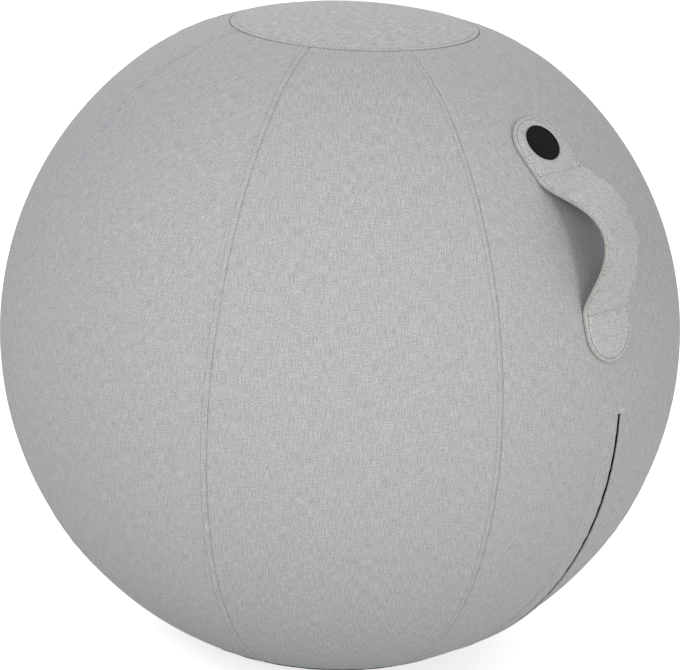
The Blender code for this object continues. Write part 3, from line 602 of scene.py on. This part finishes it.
def make_zip_flap():
    """The folded strip over the zip, sewn along its left edge and free along the slit."""
    polar = meridian_steps(ZIP_TOP, BASE_SEAM)[:, None]
    reach = COVER_RADIUS * np.sin(polar)
    middle = np.linspace(-0.0155, -0.0120, 3)
    sewn_side = np.concatenate([-FLAP_WIDTH + FLAP_SEWN_STEPS, middle])
    sewn_side = np.tile(sewn_side, (len(polar), 1))
    free_edge = slit_pinch(polar) - SLIT_LEFT
    beside = np.concatenate([sewn_side, free_edge - FOLD_STEPS[None, ::-1]], axis=1)
    across = arc_across(beside, reach)
    polar = np.broadcast_to(polar, across.shape)
    along = (polar - ZIP_TOP) * COVER_RADIUS
    from_fold = free_edge - beside
    from_seam = beside + FLAP_WIDTH
    round_edge = fold_drop(from_fold, FLAP_EDGE / 2)
    height = flap_rise(beside) - round_edge
    height = height + flap_seam(from_seam, along)
    height = height - FLAP_STITCH_GROOVE * bell(from_seam - FLAP_STITCH_INSET, STITCH_GROOVE_WIDTH)
    height = height + pucker(from_fold + 0.004, along, 71) * FOLD_PUCKER
    height = height + pucker(from_seam, along, 72)
    height = height + plain_edge((BASE_SEAM - polar) * COVER_RADIUS)
    hollow = step(-SEWN_FROM - 0.002, -HOLLOW_HALF, beside)
    hollow_rise = flap_rise(beside) - FLAP_EDGE + COVER_THICKNESS
    under = -COVER_THICKNESS + hollow_rise * hollow + round_edge
    radius = cover_radius(polar)
    outer = ball_points(polar, across / reach, radius + np.maximum(height, under + THINNEST_CLOTH))
    inner = ball_points(polar, across / reach, radius + under)
    uv = np.stack([across + 20, polar * COVER_RADIUS], axis=-1)
    flap = add_cloth("zip_flap_cloth", outer, inner, uv, cover_weave, "cover")
    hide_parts("zip_flap")
    return flap


def make_top_panel():
    """The round panel of the seat, topstitched just inside its seam."""
    length = TOP_SEAM * COVER_RADIUS - SEAT_GAP
    middle = np.linspace(CAP_RADIUS, length - EDGE_STEPS[-1], SEAT_ROWS)
    steps = np.concatenate([middle[:-1], length - EDGE_STEPS[::-1]])
    polar = (steps / COVER_RADIUS)[:, None]
    azimuth = np.linspace(0, math.tau, SEAT_COLUMNS, endpoint=False)[None, :]
    polar, azimuth = np.broadcast_arrays(polar, azimuth)
    away = (TOP_SEAM - polar) * COVER_RADIUS
    height = seat_edge(away) + pucker(away, azimuth * TOP_PANEL_RADIUS, 301)
    height = np.maximum(height, THINNEST_CLOTH - COVER_THICKNESS)
    radius = cover_radius(polar)
    outer = ball_points(polar, azimuth, radius + height)
    inner = ball_points(polar, azimuth, radius - COVER_THICKNESS)
    flat = polar * COVER_RADIUS
    uv = np.stack([flat * np.cos(azimuth) + 40, flat * np.sin(azimuth)], axis=-1)
    # Painted shade in the seam round the seat
    panel = add_cloth("top_panel_cloth", outer, inner, uv, seat_weave_painted_lighter, "cover",
                      closed=True, capped=True, painted_shade=seat_painted_shade(away))
    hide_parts("top_panel")
    return panel


for number in range(1, PANEL_COUNT):
    gore = make_side_panel(number)
zip_gore = make_zip_panel()
zip_flap = make_zip_flap()
top_panel = make_top_panel()


def make_base_panel():
    """The black panel under the ball, flat where it stands."""
    seam = COVER_RADIUS * math.sin(BASE_SEAM)
    middle = np.linspace(EDGE_STEPS[-1], seam - CAP_RADIUS, BASE_ROWS)
    steps = np.concatenate([EDGE_STEPS, middle[1:]])
    azimuth = np.linspace(0, math.tau, BASE_COLUMNS, endpoint=False)[None, :]
    out = (seam - steps)[:, None]
    ball = CENTRE_HEIGHT - np.sqrt(COVER_RADIUS**2 - out**2)
    foot_rounding = 0.0012
    height = (ball + np.sqrt(ball**2 + foot_rounding**2)) / 2
    slope = np.gradient(height[:, 0], out[:, 0])[:, None]
    outward = np.stack([slope, -np.ones_like(slope)], axis=-1) / np.sqrt(1 + slope**2)[..., None]
    away = steps[:, None]
    proud = stitched_edge(away) + pucker(away, azimuth * BASE_PANEL_RADIUS, 401)
    proud = np.maximum(proud, THINNEST_CLOTH - NONSLIP_THICKNESS) * step(0.02, 0.01, away)

    def turned(offset):
        reach = out + outward[..., 0] * offset
        level = height + outward[..., 1] * offset
        return np.stack([reach * np.cos(azimuth), reach * np.sin(azimuth), level], axis=-1)

    outer = turned(proud)
    inner = turned(np.full_like(proud, -NONSLIP_THICKNESS))
    uv = outer[..., :2]
    outer, inner, uv = (grid[::-1, ::-1] for grid in (outer, inner, uv))
    panel = add_cloth("base_panel_cloth", outer, inner, uv, nonslip, "cover", closed=True, capped=True)
    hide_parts("base_panel")
    return panel


def make_zip_tape(side, side_name):
    """A woven tape: low beside the teeth, then up to the cover that it is sewn to."""
    first = ZIP_TOP - TAPE_TAIL / COVER_RADIUS
    last = BASE_SEAM - 0.0002 / COVER_RADIUS
    polar = np.linspace(first, last, TAPE_ROWS)[:, None]
    stations = np.concatenate([np.linspace(TAPE_FROM, HOLLOW_HALF, 7),
                               np.linspace(HOLLOW_HALF, SEWN_FROM, 8)[1:],
                               np.linspace(SEWN_FROM, TAPE_EDGE, 9)[1:]])
    across = side * (stations if side > 0 else stations[::-1])[None, :]
    polar, across = np.broadcast_arrays(polar, across)
    sewn = step(HOLLOW_HALF, SEWN_FROM, np.abs(across))
    middle = ZIP_RADIUS + (TAPE_SEWN_RADIUS - ZIP_RADIUS) * sewn

    def tape_points(radius):
        beside = across + ZIP_BESIDE_MIDDLE
        reach = np.sqrt(radius**2 - beside**2)
        return np.stack([reach * np.sin(polar), beside, CENTRE_HEIGHT + reach * np.cos(polar)], axis=-1)

    uv = np.stack([across, polar * ZIP_RADIUS], axis=-1)
    tape = add_cloth(f"zip_tape_{side_name}_weave", tape_points(middle + TAPE_THICKNESS / 2),
                     tape_points(middle - TAPE_THICKNESS / 2), uv, zip_tape, "cover")
    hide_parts(f"zip_tape_{side_name}")


make_zip_tape(-1, "left")
make_zip_tape(1, "right")


# Sewing thread


def stitch_shape():
    """One stitch: a short round-ended thread along X, one unit long and two wide."""
    bpy.ops.mesh.primitive_uv_sphere_add(segments=6, ring_count=4, radius=1.0,
                                         rotation=(0, math.pi / 2, 0))
    stitch = bpy.context.object
    bpy.ops.object.transform_apply(location=False, rotation=True, scale=False)
    points = np.array([vertex.co for vertex in stitch.data.vertices])
    points[:, 0] = np.sign(points[:, 0]) * np.abs(points[:, 0]) ** 0.6 / 2
    faces = [tuple(face.vertices) for face in stitch.data.polygons]
    bpy.data.objects.remove(stitch, do_unlink=True)
    return points, faces


STITCH_POINTS, STITCH_FACES = stitch_shape()


def length_along(line):
    """The way gone at each point of a line."""
    return np.concatenate([[0.0], np.cumsum(np.linalg.norm(np.diff(line, axis=0), axis=1))])


def add_stitches(name, rows, finish, body=None, pitch=STITCH_PITCH, length=STITCH_LENGTH,
                 radius=THREAD_RADIUS):
    """Lay stitches along rows of (points, outward directions), all in one piece."""
    points = []
    faces = []
    for line, outward in rows:
        gone = length_along(line)
        for place in np.arange(pitch / 2, gone[-1] - pitch / 4, pitch):
            ends = [np.array([np.interp(place + shift, gone, line[:, k]) for k in range(3)])
                    for shift in (-length / 2, length / 2)]
            normal = np.array([np.interp(place, gone, outward[:, k]) for k in range(3)])
            along = (ends[1] - ends[0]) / np.linalg.norm(ends[1] - ends[0])
            side = np.cross(normal, along)
            side = side / np.linalg.norm(side)
            up = np.cross(along, side)
            middle = (ends[0] + ends[1]) / 2
            first = len(points) * len(STITCH_POINTS)
            sides = np.stack([along * length, side * radius, up * radius])
            points.append(middle + STITCH_POINTS @ sides)
            faces += [tuple(corner + first for corner in face) for face in STITCH_FACES]
    return add_mesh(name, np.concatenate(points), faces, finish, body)


def ball_row(polar, azimuth, radius):
    """A row on the cover, with its outward directions."""
    line = ball_points(polar, azimuth, radius)
    outward = ball_points(polar, azimuth, np.ones_like(radius)) - np.array(CENTRE)
    return line, outward


def make_seam_stitches():
    """Topstitching beside each seam between two side panels."""
    height = float(stitched_edge(np.array(STITCH_FROM_SEAM))) + THREAD_PROUD
    margin = 0.003 / COVER_RADIUS
    polar = np.linspace(TOP_SEAM + margin, BASE_SEAM - margin, 400)
    reach = COVER_RADIUS * np.sin(polar)
    rows = []
    for number in range(PANEL_COUNT):
        azimuth = (number + 0.5) * PANEL_ANGLE - STITCH_FROM_SEAM / reach
        rows.append(ball_row(polar, azimuth, cover_radius(polar) + height))
    return add_stitches("side_seam_stitches", rows, sewing_thread, "cover")


def make_seat_stitches():
    """Topstitching round the seat, just inside its seam."""
    height = float(seat_edge(np.array(STITCH_FROM_SEAM))) + THREAD_PROUD
    turn = np.linspace(0, math.tau, 500)
    level = np.full_like(turn, TOP_SEAM - STITCH_FROM_SEAM / COVER_RADIUS)
    row = ball_row(level, turn, cover_radius(level) + height)
    return add_stitches("seat_stitches", [row], sewing_thread, "cover")


def make_flap_stitches():
    """Topstitching along the flap's sewn edge."""
    margin = 0.004 / COVER_RADIUS
    polar = np.linspace(ZIP_TOP - margin, BASE_SEAM - margin, 200)
    beside = -FLAP_WIDTH + FLAP_STITCH_INSET
    azimuth = np.arcsin((beside + ZIP_BESIDE_MIDDLE) / (COVER_RADIUS * np.sin(polar)))
    height = float(flap_rise(np.array(beside))) - FLAP_STITCH_GROOVE
    row = ball_row(polar, azimuth, cover_radius(polar) + height)
    return add_stitches("flap_stitches", [row], sewing_thread, "cover")


def make_bar_tack():
    """Four long stitches, close together, across the slit's upper end."""
    first = 0.0004
    spacing = 0.0010
    lift = 0.0001
    rows = []
    beside = np.linspace(-0.0015, 0.0085, 12)
    for place in range(4):
        polar = np.full_like(beside, ZIP_TOP - (first + spacing * place) / COVER_RADIUS)
        azimuth = (beside + ZIP_BESIDE_MIDDLE) / (COVER_RADIUS * np.sin(polar))
        rows.append(ball_row(polar, azimuth, COVER_RADIUS + opening_rise(beside) + lift))
    return add_stitches("bar_tack", rows, pale_thread, "cover", pitch=0.0100, length=0.0092,
                        radius=0.0004)


def make_base_stitches():
    """Topstitching in black round the base, just inside its seam."""
    height = float(stitched_edge(np.array(STITCH_FROM_SEAM))) + THREAD_PROUD
    turn = np.linspace(0, math.tau, 600)
    level = np.full_like(turn, BASE_SEAM + STITCH_FROM_SEAM / COVER_RADIUS)
    row = ball_row(level, turn, np.full_like(turn, COVER_RADIUS + height))
    return add_stitches("base_stitches", [row], black_thread, "cover")


# Carrying strap


def tab_lean(polar):
    """How far the upper tab is sewn over to its left, growing from its stitches to its tip."""
    share = np.clip((UPPER_STITCH - polar) / (UPPER_STITCH - STRAP_TOP), 0.0, 1.0)
    return TAB_LEAN * share * (2 - share)


def strap_places(polar, across, offset):
    """Points of the strap, offset square to its underside.

    Its left edge arches higher than its right and rises later from the upper stitches.
    """
    share = across / STRAP_HALF
    power = ARCH_POWER - ARCH_POWER_TWIST * share
    height = ARCH_HEIGHT * (1 - ARCH_LEAN * share)

    def line(angle):
        along = (angle - ARCH_MIDDLE) / ARCH_HALF
        along = along + ARCH_SKEW * share * np.maximum(1 - along**2, 0.0)
        radius = COVER_RADIUS + height * np.maximum(1 - along**2, 0.0) ** power
        return np.stack([radius * np.sin(angle), radius * np.cos(angle)])

    near = math.radians(1.0)
    along = line(polar + near) - line(polar - near)
    along = along / np.linalg.norm(along, axis=0)
    beside = across + STRAP_BESIDE_MIDDLE - tab_lean(polar)
    drop = COVER_RADIUS - np.sqrt(COVER_RADIUS**2 - beside**2)
    rise = offset - drop
    x, z = line(polar)
    return np.stack([x - along[1] * rise, beside, CENTRE_HEIGHT + z + along[0] * rise], axis=-1)


ROUND_FROM = (STRAP_TOP + STRAP_HALF / COVER_RADIUS, STRAP_BOTTOM - STRAP_HALF / COVER_RADIUS)


def strap_grid(inset):
    """Polar angles, places across and distances from the cut edge over the strap's long oval."""
    half = STRAP_HALF - inset
    turn = np.radians(np.linspace(0, 88, 26))
    straight = np.linspace(*ROUND_FROM, 100)[1:-1]
    ends = half * np.sin(turn) / COVER_RADIUS
    polar = np.concatenate([ROUND_FROM[0] - ends[::-1], straight, ROUND_FROM[1] + ends])
    narrowing = half * np.cos(turn)
    width = np.concatenate([narrowing[::-1], np.full(len(straight), half), narrowing])
    share = np.sin(np.linspace(-math.pi / 2, math.pi / 2, 65))
    across = width[:, None] * share[None, :]
    polar = np.broadcast_to(polar[:, None], across.shape)
    above = np.maximum(ROUND_FROM[0] - polar, 0)
    below = np.maximum(polar - ROUND_FROM[1], 0)
    return polar, across, half - np.hypot(across, COVER_RADIUS * (above + below))


def strap_blend(piece):
    """Bake the piece's placing into its points."""
    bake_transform(piece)


def add_strap_layer(layer, sizes, relief, finish):
    """One layer of the strap, whole from tip to tip."""
    low, high, inset = sizes
    polar, across, edge = strap_grid(inset)
    outer = strap_places(polar, across, high + relief(edge, polar))
    inner = strap_places(polar, across, low + fold_drop(np.maximum(edge, 0), UNDERSIDE_ROUNDING))
    middle = strap_places(polar[:, 0], np.zeros(len(polar)), np.full(len(polar), low))
    gone = length_along(middle)
    uv = np.stack([across, np.broadcast_to(gone[:, None], across.shape)], axis=-1)
    piece = add_cloth("strap_" + layer, outer, inner, uv, finish)
    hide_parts(*[f"strap_{part}_{layer}" for part in ("upper_tab", "arch", "lower_tab")])
    strap_blend(piece)


def face_relief(edge, polar):
    """The face cloth: rounded cut edge, and grooves along the rows of stitches."""
    row = edge + FACE_LAYER[2] - STRAP_STITCH_INSET
    inside = step(-0.0005, 0.0005, row)
    groove = bell(row, STITCH_GROOVE_WIDTH)
    for stitch in (UPPER_STITCH, LOWER_STITCH):
        groove = np.maximum(groove, bell((polar - stitch) * COVER_RADIUS, 0.0012) * inside)
    dip = FACE_EDGE_DIP * bell(np.maximum(edge, 0), 0.0008)
    return FACE_CROWN - dip - STRAP_GROOVE * groove


def core_relief(edge, polar):
    """The core: a rounded cut edge, the same all round."""
    return -fold_drop(np.maximum(edge, 0), CORE_ROUNDING)


def lining_relief(edge, polar):
    """The lining: a slightly rounded cut edge, the same all round."""
    return -fold_drop(np.maximum(edge, 0), LINING_ROUNDING)


def make_strap_stitches():
    """One row round the strap's edge and one across each end of the free span."""
    half = STRAP_HALF - STRAP_STITCH_INSET
    turn = np.linspace(-math.pi / 2, math.pi / 2, 40)
    straight = np.linspace(ROUND_FROM[1], ROUND_FROM[0], 90)
    ends = half * np.cos(turn) / COVER_RADIUS
    polar = np.concatenate([ROUND_FROM[1] + ends, straight, ROUND_FROM[0] - ends, straight[::-1]])
    beside = np.full_like(straight, half)
    across = np.concatenate([half * np.sin(turn), beside, -half * np.sin(turn), -beside])
    high = FACE_LAYER[1] + FACE_CROWN - STRAP_GROOVE + 0.3 * THREAD_RADIUS

    def strap_row(angles, places):
        line = strap_places(angles, places, np.full(len(angles), high))
        return line, strap_places(angles, places, np.full(len(angles), high + 0.01)) - line

    cross = np.linspace(-half, half, 30)
    rows = [strap_row(np.full_like(cross, stitch), cross) for stitch in (UPPER_STITCH, LOWER_STITCH)]
    pieces = (add_stitches("strap_edge_stitches", [strap_row(polar, across)], strap_edge_thread,
                           pitch=0.0036, length=0.0030, radius=0.00035),
              add_stitches("strap_end_stitches", rows, strap_end_thread,
                           pitch=0.0036, length=0.0032, radius=0.00045))
    for piece in pieces:
        strap_blend(piece)


def select_faces(piece, test):
    """Select the faces of a mesh whose normal passes a test, and stay in edit mode."""
    bpy.ops.object.mode_set(mode="EDIT")
    bpy.ops.mesh.select_mode(type="FACE")
    bpy.ops.mesh.select_all(action="DESELECT")
    bpy.ops.object.mode_set(mode="OBJECT")
    for face in piece.data.polygons:
        face.select = test(face.normal)
    bpy.ops.object.mode_set(mode="EDIT")


def make_badge():
    """A plain round badge of black rubber with a low rim, bent to the ball."""
    bpy.ops.object.select_all(action="DESELECT")
    bpy.ops.mesh.primitive_cylinder_add(vertices=96, radius=BADGE_RADIUS, depth=BADGE_THICKNESS,
                                        location=(0, 0, BADGE_THICKNESS / 2), end_fill_type="NGON")
    badge = bpy.context.object
    badge.name = "badge_disc"
    bpy.ops.object.transform_apply(location=True, rotation=False, scale=False)
    select_faces(badge, lambda normal: normal.z > 0.9)
    slope = 0.0004
    rim_rise = 0.0004
    rim_width = 0.0010
    ring_width = 0.0028
    bpy.ops.mesh.inset(thickness=slope)
    bpy.ops.transform.translate(value=(0, 0, rim_rise))
    bpy.ops.mesh.inset(thickness=rim_width)
    bpy.ops.mesh.inset(thickness=slope)
    bpy.ops.transform.translate(value=(0, 0, -rim_rise))
    for _ in range(5):
        bpy.ops.mesh.inset(thickness=ring_width)
    bpy.ops.object.mode_set(mode="OBJECT")
    bpy.ops.object.shade_smooth_by_angle(angle=math.radians(35))
    for vertex in badge.data.vertices:
        vertex.co.z -= (vertex.co.x**2 + vertex.co.y**2) / 2 / (COVER_RADIUS + BADGE_SEAT)
    beside = BADGE_BESIDE_MIDDLE + tab_lean(BADGE_POLAR)
    seat = Vector(strap_places(np.array(BADGE_POLAR), np.array(beside), BADGE_SEAT))
    outward = (seat - CENTRE).normalized()
    turn = outward.to_track_quat("Z", "Y").to_matrix().to_4x4()
    badge.data.transform(Matrix.Translation(seat) @ turn)
    badge.data.materials.append(badge_rubber)
    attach(badge, "cover")
    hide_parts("badge")


base_panel = make_base_panel()
for make_thread in (make_seam_stitches, make_seat_stitches, make_flap_stitches, make_bar_tack):
    make_thread()
make_base_stitches()
add_strap_layer("lining", LINING_LAYER, lining_relief, strap_lining)
add_strap_layer("core", CORE_LAYER, core_relief, cream_core)
add_strap_layer("face", FACE_LAYER, face_relief, strap_weave)
make_strap_stitches()
make_badge()

NODE_FINISHES = {
    "inner_ball": ball_vinyl,
    "valve_plug": valve_plastic,
    "zip_teeth_left": zip_teeth,
    "zip_teeth_right": zip_teeth,
    "zip_upper_stop": zip_teeth,
    "zip_end_stop_left": zip_teeth,
    "zip_end_stop_right": zip_teeth,
    "zip_slider": zip_metal,
    "zip_pull": zip_metal,
}
for node_name, finish in NODE_FINISHES.items():
    for material_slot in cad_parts[node_name].material_slots:
        material_slot.material = finish


# Camera and studio

ROOM_LIGHT = 0.490
FLOOR_GLOW = 0.72


def place_facing_ball(thing, azimuth, elevation, distance, roll=0.0):
    """Put a camera or lamp round the ball, in degrees from -Y towards +X, turned to its centre."""
    azimuth = math.radians(azimuth)
    elevation = math.radians(elevation)
    level = math.cos(elevation)
    back = Vector((math.sin(azimuth) * level, -math.cos(azimuth) * level, math.sin(elevation)))
    thing.location = CENTRE + back * distance
    thing.rotation_mode = "QUATERNION"
    turn = Quaternion((0, 0, 1), math.radians(roll))
    thing.rotation_quaternion = (-back).to_track_quat("-Z", "Y") @ turn


def make_camera():
    """The photograph's viewpoint, fitted to the outline and the seams."""
    data = bpy.data.cameras.new("camera")
    data.lens = 119.1
    data.sensor_width = 36.0
    data.shift_y = -5 / 680
    camera = bpy.data.objects.new("camera", data)
    bpy.context.scene.collection.objects.link(camera)
    place_facing_ball(camera, azimuth=41.79, elevation=18.62, distance=2.174, roll=2.74)
    bpy.context.scene.camera = camera


def add_lamp(name, azimuth, elevation, size, power, colour):
    """A square soft light, 3 m from the ball's centre."""
    data = bpy.data.lights.new(name, "AREA")
    data.size = size
    data.energy = power
    data.color = linear(colour)[:3]
    lamp = bpy.data.objects.new(name, data)
    bpy.context.scene.collection.objects.link(lamp)
    place_facing_ball(lamp, azimuth, elevation, distance=3.0)


def seen_share(tree):
    """1 for rays from the camera and for reflected or passed ones, so that these see a white room."""
    rays = add_node(tree, "ShaderNodeLightPath").outputs
    most = add_node(tree, "ShaderNodeMath", {"operation": "MAXIMUM"},
                    i0=rays["Is Camera Ray"], i1=rays["Is Glossy Ray"]).outputs[0]
    return add_node(tree, "ShaderNodeMath", {"operation": "MAXIMUM"},
                    i0=most, i1=rays["Is Transmission Ray"]).outputs[0]


def make_studio():
    """A white room with an even light, a soft lamp on each side of the camera and one behind."""
    world = bpy.data.worlds.new("white room")
    world.use_nodes = True
    bpy.context.scene.world = world
    tree = world.node_tree
    background = tree.nodes["Background"]
    background.inputs["Color"].default_value = (1.0, 1.0, 1.0, 1.0)
    strength = add_node(tree, "ShaderNodeMapRange", Value=seen_share(tree),
                        To_Min=ROOM_LIGHT, To_Max=1.0)
    tree.links.new(strength.outputs["Result"], background.inputs["Strength"])
    add_lamp("right lamp", azimuth=80, elevation=9, size=0.5, power=14.6, colour="#fff7ee")
    add_lamp("left lamp", azimuth=14, elevation=34, size=1.1, power=25, colour="#f9fcff")
    add_lamp("back lamp", azimuth=222, elevation=32, size=1.4, power=29, colour="#fffaf3")
    bpy.ops.mesh.primitive_plane_add(size=40)
    floor = bpy.context.object
    floor.name = "floor"
    material, tree, shader = new_finish("white paper", Roughness=0.9, Base_Color=linear("#e5e5e5"),
                                        Emission_Color=(1.0, 1.0, 1.0, 1.0))
    glow = add_node(tree, "ShaderNodeMath", {"operation": "MULTIPLY"},
                    i0=seen_share(tree), i1=FLOOR_GLOW)
    tree.links.new(glow.outputs[0], shader.inputs["Emission Strength"])
    floor.data.materials.append(material)


make_camera()
make_studio()
bpy.context.scene.view_settings.view_transform = "Standard"
